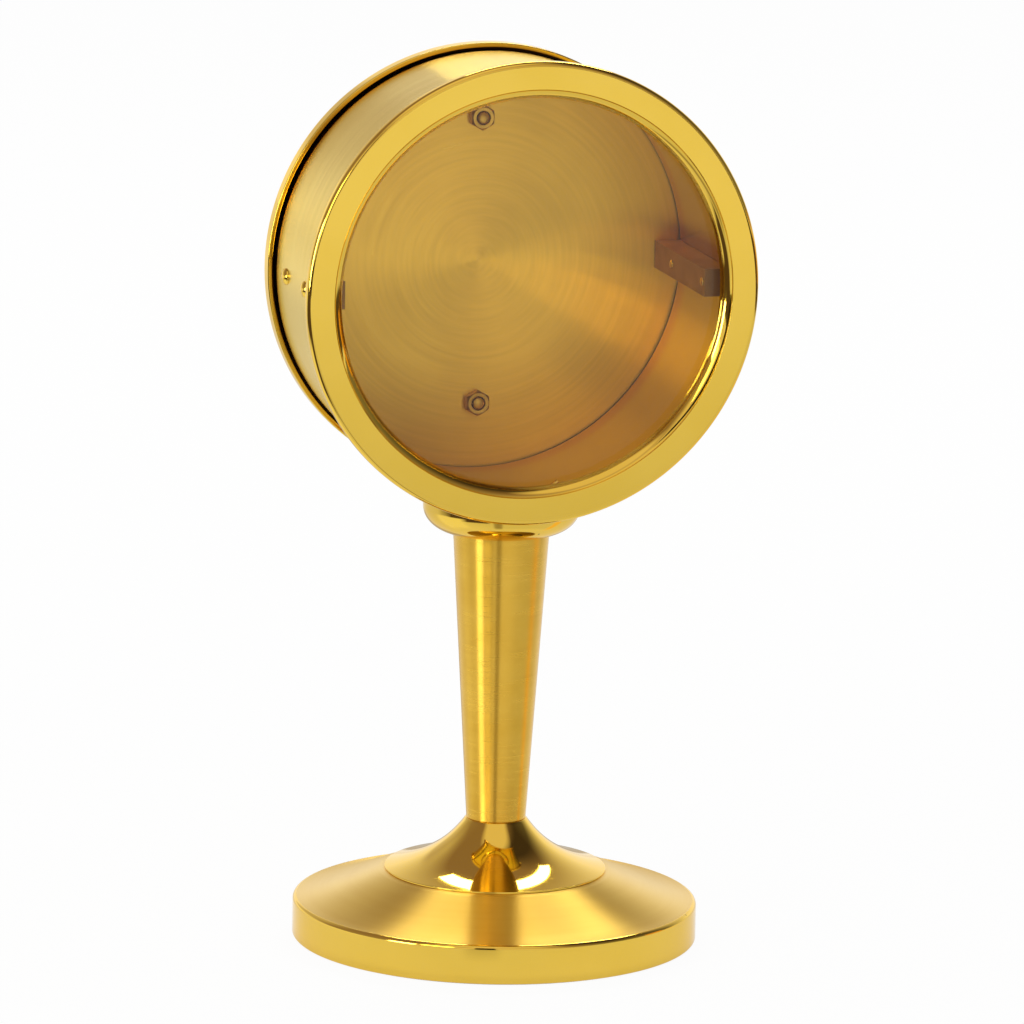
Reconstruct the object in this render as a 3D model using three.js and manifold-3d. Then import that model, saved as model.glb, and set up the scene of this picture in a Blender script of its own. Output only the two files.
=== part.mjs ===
// A free-standing glazed reliquary of gilt brass: a round case on a tapered stem and a spun foot.
// Millimetres, +Z up, the glazed front looks along -Y, the origin is under the centre of the foot.
import * as THREE from "three";
import { mergeVertices } from "three/addons/utils/BufferGeometryUtils.js";
import Module from "manifold-3d";

const wasm = await Module();
wasm.setup();

// Clearances
const seatGap = 0.3; // between curved or cut faces that seat on each other
const slipGap = 0.15; // around a spigot, a plate edge or a threaded shank
const pinGap = 0.08; // around the hinge pin, and around the thumb screw in the door
const overrun = 1; // how far a cutting tool reaches past what it cuts

// Foot: a spun shell over a cast weight, closed by a pad
const footRadius = 48.5;
const footSideHeight = 8.3;
const footEdgeRound = 1;
const footHemRound = 0.8;
const footSlopeRise = 7.2;
const footSlopeOuterReach = 6.4;
const footSlopeOuterRise = 1;
const footSlopeInnerReach = 7.7;
const footSlopeInnerDrop = 2.8;
const footSheet = 0.9;
const padThickness = 1.2;
const padProud = 0.3;

// Flare and stem
const flareRadius = 26.6;
const flareLip = 0.45;
const flareHeight = 12.6;
const flareNeckRadius = 7.3;
const flareFootReach = 9.8;
const flareFootLift = 2.45;
const flareNeckReach = 4.4;
const flareNeckDrop = 6.2;
const stemBottomRadius = 7.1;
const stemTopRadius = 11.5;
const stemLength = 69.5;
const stemWall = 1.2;

// Collar: a turned bowl whose top is cut to the curve of the case
const collarRadius = 18.8;
const collarFlatRadius = 11;
const collarBowlHeight = 6.7;
const collarHeight = 10.7;

// Tie rod, which is screwed into the collar and pulls stem, flare and foot up against it
const rodRadius = 3;
const rodEndLength = 1;
const rodThreadDepth = 7.5;
const tieNutAcrossFlats = 10;
const tieNutHeight = 5;
const tieWasherRadius = 6.2;
const tieWasherThickness = 1.6;
const nutPocketRadius = 8;

// Case
const wallRadius = 51.3;
const wallSheet = 0.8;
const caseDepth = 48.6;

// Bezel
const bezelOverhang = 4;
const bezelFaceWidth = 9;
const bezelThickness = 2.6;
const bezelOuterRound = 1.3;
const bezelBackRound = 0.4;
const bezelInnerRound = 2.1;
const spigotSheet = 0.85;
const spigotLength = 4.9;

// Glazing
const glassThickness = 2.5;
const glassChamfer = 0.4;
const clipWireRadius = 0.7;
const clipGrooveDepth = 0.4;
const clipGapWidth = 8;
const clipEndX = 8.6;
const clipEndLift = 2.2;
const clipLiftLength = 9;

// Door
const doorSheet = 0.8;
const doorRimSheet = 0.7;
const doorRimDepth = 4.1;
const doorRimGap = 1;
const doorEdgeRound = 1;

// Bars inside the wall, and the rivets that hold them
const barHeight = 6.6;
const barThickness = 6.25;
const rivetRadius = 0.8;
const rivetHeadRadius = 2;
const rivetHeadHeight = 1.1;
const rivetTailRadius = 1.05;
const rivetTailHeight = 0.4;
const rightRivetsFromBarEnds = { front: 2, rear: 13.7 };
const leftRivetsFromBarEnds = { front: 9.3, rear: 13.4 };

// Hinge
const hingeWidth = 9;
const hingeSheet = 0.8;
const knuckleRadius = 1.5;
const knuckleWidth = 2.8;
const knuckleGap = 0.2;
const hingePinRadius = 0.75;
const hingePinHeadRadius = 1.2;
const hingePinHeadHeight = 0.6;
const hingeClearance = 0.5;
const crankDegrees = 43;
const strapPastRivet = 2.6;
const leafLength = 10;

// Thumb screw of the door
const thumbHeadRadius = 4;
const thumbHeadHeight = 3.2;
const thumbTeeth = 20;
const thumbToothDepth = 0.35;
const thumbCollarRadius = 2.6;
const thumbCollarHeight = 0.7;
const thumbShankRadius = 1.5;
const thumbShankDepth = 5.5;

// Relic screws in the door
const relicScrewOffset = 34.7;
const relicScrewRadius = 1.5;
const relicHeadRadius = 2.8;
const relicHeadHeight = 1.7;
const relicSlotWidth = 0.8;
const relicWasherRadius = 3.5;
const relicWasherThickness = 0.5;
const relicNutAcrossFlats = 5.5;
const relicNutHeight = 2.4;
const relicEndLength = 0.5;

// Facets round a turn
const caseFacets = 56;
const footFacets = 48;
const flareFacets = 40;
const smallFacets = 20;
const tinyFacets = 12;

// Heights that follow from the stack
const hemZ = padProud;
const footSideTopZ = hemZ + footSideHeight;
const plateauZ = footSideTopZ + footEdgeRound + footSlopeRise;
const flareTopZ = plateauZ + flareHeight;
const stemTopZ = flareTopZ + stemLength;
const wallBottomZ = stemTopZ + collarHeight;
const caseZ = wallBottomZ + wallRadius;
const rodBottomZ = padThickness + seatGap;
const rodTopZ = stemTopZ + rodThreadDepth;
const tieNutBottomZ = rodBottomZ + rodEndLength;
const tieNutTopZ = tieNutBottomZ + tieNutHeight;
const pocketTopZ = tieNutTopZ + tieWasherThickness;

// Depths that follow from the case
const faceY = -caseDepth / 2;
const bezelBackY = faceY + bezelThickness;
const spigotEndY = bezelBackY + spigotLength;
const doorBackY = caseDepth / 2;
const doorInnerY = doorBackY - doorSheet;
const doorRimFrontY = doorBackY - doorRimDepth;
const wallBackY = doorInnerY - seatGap;
const barFrontY = spigotEndY + seatGap;
const glassBackY = bezelBackY + glassThickness;
const clipY = glassBackY + clipWireRadius;

// Radii and places that follow from the wall
const wallInnerRadius = wallRadius - wallSheet;
const bezelRadius = wallRadius + bezelOverhang;
const openingRadius = bezelRadius - bezelFaceWidth;
const spigotRadius = wallInnerRadius - slipGap;
const spigotInnerRadius = spigotRadius - spigotSheet;
const glassRadius = spigotInnerRadius - slipGap;
const grooveRadius = spigotInnerRadius + clipGrooveDepth;
const clipRadius = grooveRadius - slipGap - clipWireRadius;
const doorRimInnerRadius = wallRadius + doorRimGap;
const doorRadius = doorRimInnerRadius + doorRimSheet;
const barOuterRadius = wallInnerRadius - slipGap;
const barFaceX = barOuterRadius - barThickness;
const barCentreX = barOuterRadius - barThickness / 2;
const rightRivetYs = {
  front: barFrontY + rightRivetsFromBarEnds.front,
  rear: wallBackY - rightRivetsFromBarEnds.rear,
};
const leftRivetYs = {
  front: barFrontY + leftRivetsFromBarEnds.front,
  rear: wallBackY - leftRivetsFromBarEnds.rear,
};
const rodHoleRadius = rodRadius + seatGap;
const rivetHoleRadius = rivetRadius + slipGap;

// Hinge axis, outside the door's rim and level with the front half of its depth
const hingeX = doorRadius + hingeClearance + knuckleRadius;
const hingeY = doorRimFrontY + knuckleRadius - seatGap;

// Finishes
const finishes = {
  polished: { color: 0xd9b04a, roughness: 0.12, metalness: 1 },
  satin: { color: 0xcfa654, roughness: 0.38, metalness: 1 },
  iron: { color: 0x3a3b3d, roughness: 0.75, metalness: 0.6 },
  steel: { color: 0xb9bcc0, roughness: 0.3, metalness: 1 },
  rubber: { color: 0x2a1f1a, roughness: 0.9, metalness: 0 },
  glass: { color: 0xf4f7f6, roughness: 0.03, metalness: 0, transparent: true, opacity: 0.25 },
};

const model = new THREE.Group();
const caseGroup = new THREE.Group();
caseGroup.position.z = caseZ;
const doorGroup = new THREE.Group();
caseGroup.add(doorGroup);
model.add(caseGroup);

function addPart(group, name, geometry, finish) {
  const mesh = new THREE.Mesh(geometry, new THREE.MeshStandardMaterial(finishes[finish]));
  mesh.name = name;
  group.add(mesh);
  return mesh;
}

// Points on an arc, from one angle to another in degrees, both ends included.
function arc(centreX, centreY, radiusX, radiusY, fromDegrees, toDegrees, steps) {
  const points = [];
  for (let i = 0; i <= steps; i++) {
    const angle = THREE.MathUtils.degToRad(fromDegrees + ((toDegrees - fromDegrees) * i) / steps);
    points.push(new THREE.Vector2(centreX + radiusX * Math.cos(angle), centreY + radiusY * Math.sin(angle)));
  }
  return points;
}

// A closed outline runs anticlockwise, so that its turned surface faces outwards.
function closedProfile(points) {
  const outline = THREE.ShapeUtils.area(points) > 0 ? points : [...points].reverse();
  return [...outline, outline[0].clone()];
}

// A solid of revolution about Y from an outline of (radius, y) points.
function turnAboutY(points, facets) {
  return new THREE.LatheGeometry(closedProfile(points), facets);
}

// A solid of revolution about Z from an outline of (radius, z) points.
function turnAboutZ(points, facets) {
  return turnAboutY(points, facets).rotateX(Math.PI / 2);
}

// A solid of revolution about X from an outline of (radius, x) points.
function turnAboutX(points, facets) {
  return turnAboutY(points, facets).rotateZ(-Math.PI / 2);
}

function toSolid(geometry) {
  const bare = geometry.clone();
  bare.deleteAttribute("normal");
  bare.deleteAttribute("uv");
  const merged = mergeVertices(bare, 1e-4);
  return new wasm.Manifold(
    new wasm.Mesh({
      numProp: 3,
      vertProperties: new Float32Array(merged.attributes.position.array),
      triVerts: new Uint32Array(merged.index.array),
    }),
  );
}

function toGeometry(solid) {
  const mesh = solid.getMesh();
  const geometry = new THREE.BufferGeometry();
  geometry.setAttribute("position", new THREE.BufferAttribute(mesh.vertProperties, mesh.numProp));
  geometry.setIndex(new THREE.BufferAttribute(mesh.triVerts, 1));
  geometry.computeVertexNormals();
  return geometry;
}

function cut(body, ...tools) {
  return toGeometry(tools.reduce((left, tool) => left.subtract(toSolid(tool)), toSolid(body)));
}

function join(body, ...others) {
  return toGeometry(others.reduce((whole, other) => whole.add(toSolid(other)), toSolid(body)));
}

function common(body, other) {
  return toGeometry(toSolid(body).intersect(toSolid(other)));
}

// A round rod along one axis ("x", "y" or "z") between two stations on it.
function rodAlong(axis, from, to, radius, facets = smallFacets) {
  const rod = new THREE.CylinderGeometry(radius, radius, to - from, facets);
  rod.translate(0, (from + to) / 2, 0);
  if (axis === "x") rod.rotateZ(-Math.PI / 2);
  if (axis === "z") rod.rotateX(Math.PI / 2);
  return rod;
}

function box(lowX, highX, lowY, highY, lowZ, highZ) {
  return new THREE.BoxGeometry(highX - lowX, highY - lowY, highZ - lowZ).translate(
    (lowX + highX) / 2,
    (lowY + highY) / 2,
    (lowZ + highZ) / 2,
  );
}

function extrude(shape, depth) {
  return new THREE.ExtrudeGeometry(shape, { depth, bevelEnabled: false, curveSegments: 6 });
}

// A line moved sideways by a distance, to the left of its run, for the inner face of a sheet.
function offsetLine(points, distance) {
  return points.map((point, i) => {
    const before = points[Math.max(i - 1, 0)];
    const after = points[Math.min(i + 1, points.length - 1)];
    const along = after.clone().sub(before).normalize();
    return new THREE.Vector2(point.x - along.y * distance, point.y + along.x * distance);
  });
}

// Foot
// The outer line of the spun shell, from its rounded edge over the dished slope to its hole.
function footLine(slopeSteps) {
  const edgeX = footRadius - footEdgeRound;
  const edgeZ = footSideTopZ + footEdgeRound;
  const seatX = flareRadius + seatGap;
  const slope = new THREE.CubicBezierCurve(
    new THREE.Vector2(edgeX, edgeZ),
    new THREE.Vector2(edgeX - footSlopeOuterReach, edgeZ + footSlopeOuterRise),
    new THREE.Vector2(seatX + footSlopeInnerReach, plateauZ - footSlopeInnerDrop),
    new THREE.Vector2(seatX, plateauZ),
  );
  return [
    ...arc(edgeX, footSideTopZ, footEdgeRound, footEdgeRound, 0, 90, 3),
    ...slope.getPoints(slopeSteps).slice(1),
    new THREE.Vector2(rodHoleRadius, plateauZ),
  ];
}

function footShell() {
  const inner = offsetLine(footLine(4), footSheet).reverse();
  inner[0].x = rodHoleRadius;
  const outline = [
    ...arc(footRadius - footHemRound, hemZ + footHemRound, footHemRound, footHemRound, -90, 0, 2),
    ...footLine(7),
    ...inner,
    new THREE.Vector2(footRadius - footSheet, hemZ),
  ];
  return turnAboutZ(outline, footFacets);
}

// The weight fills the shell and has a pocket below for the nut and washer of the tie rod.
function footWeight() {
  const outer = offsetLine(footLine(3), footSheet + seatGap).reverse();
  outer[0].x = rodHoleRadius;
  const sideX = footRadius - footSheet - seatGap;
  const outline = [
    ...outer,
    new THREE.Vector2(sideX, padThickness),
    new THREE.Vector2(nutPocketRadius, padThickness),
    new THREE.Vector2(nutPocketRadius, pocketTopZ),
    new THREE.Vector2(rodHoleRadius, pocketTopZ),
  ];
  return turnAboutZ(outline, footFacets);
}

function footPad() {
  const radius = footRadius - footSheet - seatGap;
  return rodAlong("z", 0, padThickness, radius, footFacets);
}

addPart(model, "base_shell", footShell(), "satin");
addPart(model, "base_weight", footWeight(), "iron");
addPart(model, "base_pad", footPad(), "rubber");

// Flare
// A trumpet that sweeps from a thin polished lip up to the narrow neck under the stem.
function flare() {
  const sweep = new THREE.CubicBezierCurve(
    new THREE.Vector2(flareRadius, plateauZ + flareLip),
    new THREE.Vector2(flareRadius - flareFootReach, plateauZ + flareLip + flareFootLift),
    new THREE.Vector2(flareNeckRadius + flareNeckReach, flareTopZ - flareNeckDrop),
    new THREE.Vector2(flareNeckRadius, flareTopZ),
  );
  const outline = [
    new THREE.Vector2(rodHoleRadius, plateauZ),
    new THREE.Vector2(flareRadius, plateauZ),
    ...sweep.getPoints(10),
    new THREE.Vector2(rodHoleRadius, flareTopZ),
  ];
  return turnAboutZ(outline, flareFacets);
}

// Stem
function stem() {
  const outline = [
    new THREE.Vector2(stemBottomRadius - stemWall, flareTopZ),
    new THREE.Vector2(stemBottomRadius, flareTopZ),
    new THREE.Vector2(stemTopRadius, stemTopZ),
    new THREE.Vector2(stemTopRadius - stemWall, stemTopZ),
  ];
  return turnAboutZ(outline, flareFacets);
}

addPart(model, "stem_flare", flare(), "polished");
addPart(model, "stem", stem(), "satin");

// Collar
// The bowl is turned tall, then the curve of the case is cut out of its top, which leaves two horns.
function collar() {
  const hornTopZ = caseZ - Math.sqrt(wallRadius ** 2 - collarRadius ** 2) + overrun;
  const holeTopZ = rodTopZ + seatGap;
  const bowlRun = collarRadius - collarFlatRadius;
  const outline = [
    new THREE.Vector2(rodHoleRadius, stemTopZ),
    ...arc(collarFlatRadius, stemTopZ + collarBowlHeight, bowlRun, collarBowlHeight, -90, 0, 7),
    new THREE.Vector2(collarRadius, hornTopZ),
    new THREE.Vector2(0, hornTopZ),
    new THREE.Vector2(0, holeTopZ),
    new THREE.Vector2(rodHoleRadius, holeTopZ),
  ];
  const saddle = rodAlong("y", -2 * collarRadius, 2 * collarRadius, wallRadius + seatGap, caseFacets);
  return cut(turnAboutZ(outline, flareFacets), saddle.translate(0, 0, caseZ));
}

addPart(model, "collar", collar(), "polished");

// Hexagon nut along +Z from zero, with both faces chamfered and two of its corners towards Y.
function hexNut(acrossFlats, height, boreRadius) {
  const cornerRadius = acrossFlats / Math.sqrt(3);
  const chamfer = cornerRadius - acrossFlats / 2;
  const hexagon = new THREE.CylinderGeometry(cornerRadius, cornerRadius, height, 6);
  hexagon.rotateX(Math.PI / 2).translate(0, 0, height / 2);
  const faceRadius = acrossFlats / 2;
  const turned = turnAboutZ(
    [
      new THREE.Vector2(boreRadius, 0),
      new THREE.Vector2(faceRadius, 0),
      new THREE.Vector2(cornerRadius + chamfer, chamfer),
      new THREE.Vector2(cornerRadius + chamfer, height - chamfer),
      new THREE.Vector2(faceRadius, height),
      new THREE.Vector2(boreRadius, height),
    ],
    smallFacets,
  );
  return common(hexagon, turned);
}

function washer(radius, boreRadius, thickness) {
  const outline = [
    new THREE.Vector2(boreRadius, 0),
    new THREE.Vector2(radius, 0),
    new THREE.Vector2(radius, thickness),
    new THREE.Vector2(boreRadius, thickness),
  ];
  return turnAboutZ(outline, smallFacets);
}

// Tie rod and what clamps it
addPart(model, "tie_rod", rodAlong("z", rodBottomZ, rodTopZ, rodRadius), "steel");
const tieNut = hexNut(tieNutAcrossFlats, tieNutHeight, rodRadius + slipGap).translate(0, 0, tieNutBottomZ);
addPart(model, "tie_nut", tieNut, "steel");
const tieWasher = washer(tieWasherRadius, rodHoleRadius, tieWasherThickness).translate(0, 0, tieNutTopZ);
addPart(model, "tie_washer", tieWasher, "steel");

// Case wall, a rolled band with holes for the rivets
function caseWall() {
  const band = turnAboutY(
    [
      new THREE.Vector2(wallInnerRadius, bezelBackY),
      new THREE.Vector2(wallRadius, bezelBackY),
      new THREE.Vector2(wallRadius, wallBackY),
      new THREE.Vector2(wallInnerRadius, wallBackY),
    ],
    caseFacets,
  );
  const rightHoles = Object.values(rightRivetYs).map((y) =>
    rodAlong("x", 0, 2 * wallRadius, rivetHoleRadius, tinyFacets).translate(0, y, 0),
  );
  const leftHoles = Object.values(leftRivetYs).map((y) =>
    rodAlong("x", -2 * wallRadius, 0, rivetHoleRadius, tinyFacets).translate(0, y, 0),
  );
  return cut(band, ...rightHoles, ...leftHoles);
}

addPart(caseGroup, "case_wall", caseWall(), "satin");

// Front bezel: a flat ring with a rounded outer edge, a rounded inner edge and a spigot with a groove
function bezel() {
  const grooveHalf = clipWireRadius + slipGap;
  const innerRoundX = openingRadius + bezelInnerRound;
  const outerRoundX = bezelRadius - bezelOuterRound;
  const outline = [
    new THREE.Vector2(openingRadius, bezelBackY),
    ...arc(innerRoundX, faceY + bezelInnerRound, bezelInnerRound, bezelInnerRound, 180, 270, 3),
    ...arc(outerRoundX, faceY + bezelOuterRound, bezelOuterRound, bezelOuterRound, 270, 360, 3),
    new THREE.Vector2(bezelRadius, bezelBackY - bezelBackRound),
    new THREE.Vector2(bezelRadius - bezelBackRound, bezelBackY),
    new THREE.Vector2(spigotRadius, bezelBackY),
    new THREE.Vector2(spigotRadius, spigotEndY),
    new THREE.Vector2(spigotInnerRadius, spigotEndY),
    new THREE.Vector2(spigotInnerRadius, clipY + grooveHalf),
    new THREE.Vector2(grooveRadius, clipY + grooveHalf),
    new THREE.Vector2(grooveRadius, clipY - grooveHalf),
    new THREE.Vector2(spigotInnerRadius, clipY - grooveHalf),
    new THREE.Vector2(spigotInnerRadius, bezelBackY),
  ];
  return turnAboutY(outline, caseFacets);
}

function glassPane() {
  const outline = [
    new THREE.Vector2(0, bezelBackY),
    new THREE.Vector2(glassRadius - glassChamfer, bezelBackY),
    new THREE.Vector2(glassRadius, bezelBackY + glassChamfer),
    new THREE.Vector2(glassRadius, glassBackY - glassChamfer),
    new THREE.Vector2(glassRadius - glassChamfer, glassBackY),
    new THREE.Vector2(0, glassBackY),
  ];
  return turnAboutY(outline, caseFacets);
}

// The spring clip is one wire round the groove. Near the gap at the bottom one end lifts off inwards.
function glassClip() {
  const endAngle = 2 * Math.PI + Math.asin(clipEndX / clipRadius);
  const startAngle = endAngle - 2 * Math.PI + clipGapWidth / clipRadius;
  const liftAngle = clipLiftLength / clipRadius;
  const turnSteps = 44;
  const points = [];
  for (let i = 0; i <= turnSteps; i++) {
    const angle = startAngle + ((endAngle - startAngle) * i) / turnSteps;
    const lifted = Math.max(0, 1 - (endAngle - angle) / liftAngle);
    const radius = clipRadius - clipEndLift * lifted ** 2;
    points.push(new THREE.Vector3(radius * Math.sin(angle), clipY, -radius * Math.cos(angle)));
  }
  const section = new THREE.Shape(arc(0, 0, clipWireRadius, clipWireRadius, 0, 300, 5));
  const path = new THREE.CatmullRomCurve3(points);
  return new THREE.ExtrudeGeometry(section, { steps: turnSteps, extrudePath: path, bevelEnabled: false });
}

addPart(caseGroup, "front_bezel", bezel(), "polished");
addPart(caseGroup, "front_glass", glassPane(), "glass");
addPart(caseGroup, "glass_clip", glassClip(), "satin");

// Bars inside the wall, left and right, whose outer side follows the wall
function bar(rivetYs) {
  const halfAngle = THREE.MathUtils.radToDeg(Math.asin(barHeight / 2 / barOuterRadius));
  const section = new THREE.Shape([
    new THREE.Vector2(barFaceX, barHeight / 2),
    new THREE.Vector2(barFaceX, -barHeight / 2),
    ...arc(0, 0, barOuterRadius, barOuterRadius, -halfAngle, halfAngle, 4),
  ]);
  const length = wallBackY - barFrontY;
  const block = extrude(section, length).rotateX(Math.PI / 2).translate(0, wallBackY, 0);
  const rivetHoles = Object.values(rivetYs).map((y) =>
    rodAlong("x", barFaceX - overrun, barOuterRadius + overrun, rivetHoleRadius, tinyFacets).translate(0, y, 0),
  );
  return cut(block, ...rivetHoles);
}

// The left bar also takes the thumb screw, in a hole in its back end.
function tappedBar() {
  const bottomY = wallBackY - thumbShankDepth - seatGap;
  const hole = rodAlong("y", bottomY, wallBackY + overrun, thumbShankRadius + seatGap);
  return cut(bar(leftRivetYs), hole.translate(barCentreX, 0, 0)).rotateY(Math.PI);
}

// A rivet along +X: a domed head outside, the shank, and a low upset tail on the bar's inner face.
function rivet(headSeatX) {
  const tailSeatX = barFaceX - slipGap / 3;
  const outline = [
    ...arc(0, tailSeatX, rivetTailRadius, rivetTailHeight, -90, 0, 2),
    new THREE.Vector2(rivetRadius, tailSeatX),
    new THREE.Vector2(rivetRadius, headSeatX),
    ...arc(0, headSeatX, rivetHeadRadius, rivetHeadHeight, 0, 90, 3),
  ];
  return turnAboutX(outline, tinyFacets);
}

const strapInnerX = wallRadius + slipGap;
const strapOuterX = strapInnerX + hingeSheet;
addPart(caseGroup, "bar_right", bar(rightRivetYs), "satin");
addPart(caseGroup, "bar_left", tappedBar(), "satin");
for (const place of ["front", "rear"]) {
  const right = addPart(caseGroup, "rivet_right_" + place, rivet(strapOuterX), "polished");
  right.position.y = rightRivetYs[place];
  const left = addPart(caseGroup, "rivet_left_" + place, rivet(wallRadius), "polished");
  left.position.y = leftRivetYs[place];
  left.rotation.y = Math.PI;
}

// Door: a shallow pan whose rim stands round the back end of the wall
function doorPan() {
  const lipRound = doorRimSheet / 2;
  const outline = [
    new THREE.Vector2(0, doorInnerY),
    new THREE.Vector2(doorRimInnerRadius, doorInnerY),
    ...arc(doorRimInnerRadius + lipRound, doorRimFrontY + lipRound, lipRound, lipRound, 180, 360, 3),
    ...arc(doorRadius - doorEdgeRound, doorBackY - doorEdgeRound, doorEdgeRound, doorEdgeRound, 0, 90, 3),
    new THREE.Vector2(0, doorBackY),
  ];
  const through = (radius) => rodAlong("y", doorInnerY - overrun, doorBackY + overrun, radius);
  return cut(
    turnAboutY(outline, caseFacets),
    through(relicScrewRadius + slipGap).translate(0, 0, relicScrewOffset),
    through(relicScrewRadius + slipGap).translate(0, 0, -relicScrewOffset),
    through(thumbShankRadius + pinGap).translate(-barCentreX, 0, 0),
  );
}

addPart(doorGroup, "rear_door", doorPan(), "satin");

// Hinge
// A knuckle is a short tube round the hinge axis, between two heights.
function knuckleBody(radius, lowZ, highZ) {
  return rodAlong("z", lowZ, highZ, radius).translate(hingeX, hingeY, 0);
}

// The strap runs along the wall under both right rivets, then cranks out to the two outer knuckles.
function hingeStrap() {
  const crank = THREE.MathUtils.degToRad(crankDegrees);
  const tangentPoint = (radius) =>
    new THREE.Vector2(hingeX + radius * Math.sin(crank), hingeY - radius * Math.cos(crank));
  const outer = tangentPoint(knuckleRadius);
  const inner = tangentPoint(knuckleRadius - hingeSheet);
  const endY = rightRivetYs.front - strapPastRivet;
  const plan = new THREE.Shape([
    new THREE.Vector2(strapInnerX, endY),
    new THREE.Vector2(strapOuterX, endY),
    new THREE.Vector2(strapOuterX, outer.y - (outer.x - strapOuterX) * Math.tan(crank)),
    outer,
    inner,
    new THREE.Vector2(strapInnerX, inner.y - (inner.x - strapInnerX) * Math.tan(crank)),
  ]);
  const strip = extrude(plan, hingeWidth).translate(0, 0, -hingeWidth / 2);
  const half = knuckleWidth / 2 + knuckleGap;
  const rivetHoles = Object.values(rightRivetYs).map((y) =>
    rodAlong("x", strapInnerX - overrun, strapOuterX + overrun, rivetHoleRadius, tinyFacets).translate(0, y, 0),
  );
  return cut(
    join(strip, knuckleBody(knuckleRadius, -hingeWidth / 2, hingeWidth / 2)),
    knuckleBody(knuckleRadius + knuckleGap, -half, half),
    knuckleBody(hingePinRadius + pinGap, -hingeWidth, hingeWidth),
    ...rivetHoles,
  );
}

// The leaf lies soldered on the back of the door and reaches round the rim to the middle knuckle.
function hingeLeaf() {
  const half = knuckleWidth / 2;
  const backY = doorBackY + hingeSheet;
  const leftX = hingeX - hingeSheet / 2;
  const rightX = hingeX + hingeSheet / 2;
  const plan = new THREE.Shape([
    new THREE.Vector2(leftX, hingeY),
    new THREE.Vector2(rightX, hingeY),
    ...arc(rightX - hingeSheet, backY - hingeSheet, hingeSheet, hingeSheet, 0, 90, 3),
    new THREE.Vector2(hingeX - leafLength, backY),
    new THREE.Vector2(hingeX - leafLength, doorBackY),
    new THREE.Vector2(leftX, doorBackY),
  ]);
  const strip = extrude(plan, hingeWidth).translate(0, 0, -hingeWidth / 2);
  return cut(
    join(strip, knuckleBody(knuckleRadius, -half, half)),
    knuckleBody(knuckleRadius + knuckleGap, half, hingeWidth),
    knuckleBody(knuckleRadius + knuckleGap, -hingeWidth, -half),
    knuckleBody(hingePinRadius + pinGap, -hingeWidth, hingeWidth),
  );
}

function hingePin() {
  const headZ = hingeWidth / 2 + pinGap;
  const outline = [
    new THREE.Vector2(0, -hingeWidth / 2),
    new THREE.Vector2(hingePinRadius, -hingeWidth / 2),
    new THREE.Vector2(hingePinRadius, headZ),
    ...arc(0, headZ, hingePinHeadRadius, hingePinHeadHeight, 0, 90, 3),
  ];
  return turnAboutZ(outline, smallFacets).translate(hingeX, hingeY, 0);
}

addPart(caseGroup, "hinge_strap", hingeStrap(), "polished");
addPart(caseGroup, "hinge_pin", hingePin(), "steel");
addPart(doorGroup, "hinge_leaf", hingeLeaf(), "polished");

// Thumb screw: a straight-knurled head over a plain collar, and a shank into the left bar
function thumbScrew() {
  const seatY = doorBackY + slipGap / 3;
  const headY = seatY + thumbCollarHeight;
  const topY = headY + thumbHeadHeight;
  const teeth = [];
  for (let i = 0; i < 2 * thumbTeeth; i++) {
    const angle = (Math.PI * i) / thumbTeeth;
    const radius = thumbHeadRadius - (i % 2) * thumbToothDepth;
    teeth.push(new THREE.Vector2(radius * Math.cos(angle), radius * Math.sin(angle)));
  }
  const knurled = extrude(new THREE.Shape(teeth), topY - seatY).rotateX(-Math.PI / 2).translate(0, seatY, 0);
  const chamfer = 2 * thumbToothDepth;
  const turned = turnAboutY(
    [
      new THREE.Vector2(0, wallBackY - thumbShankDepth),
      new THREE.Vector2(thumbShankRadius, wallBackY - thumbShankDepth),
      new THREE.Vector2(thumbShankRadius, seatY),
      new THREE.Vector2(thumbCollarRadius, seatY),
      new THREE.Vector2(thumbCollarRadius, headY),
      new THREE.Vector2(thumbHeadRadius - chamfer, headY),
      new THREE.Vector2(thumbHeadRadius + chamfer, headY + 2 * chamfer),
      new THREE.Vector2(thumbHeadRadius + chamfer, topY - 2 * chamfer),
      new THREE.Vector2(thumbHeadRadius - chamfer, topY),
      new THREE.Vector2(0, topY),
    ],
    smallFacets,
  );
  const shank = rodAlong("y", wallBackY - thumbShankDepth, headY, thumbShankRadius);
  return join(common(turned, knurled), shank).translate(-barCentreX, 0, 0);
}

addPart(doorGroup, "door_screw", thumbScrew(), "polished");

// Relic screws: slotted heads and washers on the back of the door, nuts inside it
function relicScrew() {
  const seatY = doorBackY + relicWasherThickness;
  const endY = doorInnerY - relicNutHeight - relicEndLength;
  const body = turnAboutY(
    [
      new THREE.Vector2(0, endY),
      new THREE.Vector2(relicScrewRadius, endY),
      new THREE.Vector2(relicScrewRadius, seatY),
      new THREE.Vector2(relicHeadRadius, seatY),
      ...arc(0, seatY + relicHeadHeight / 3, relicHeadRadius, (relicHeadHeight * 2) / 3, 0, 90, 4),
    ],
    smallFacets,
  );
  const slotHalf = relicSlotWidth / 2;
  const slot = box(
    -2 * relicHeadRadius,
    2 * relicHeadRadius,
    seatY + relicHeadHeight / 2,
    seatY + 2 * relicHeadHeight,
    -slotHalf,
    slotHalf,
  );
  return cut(body, slot);
}

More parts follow.
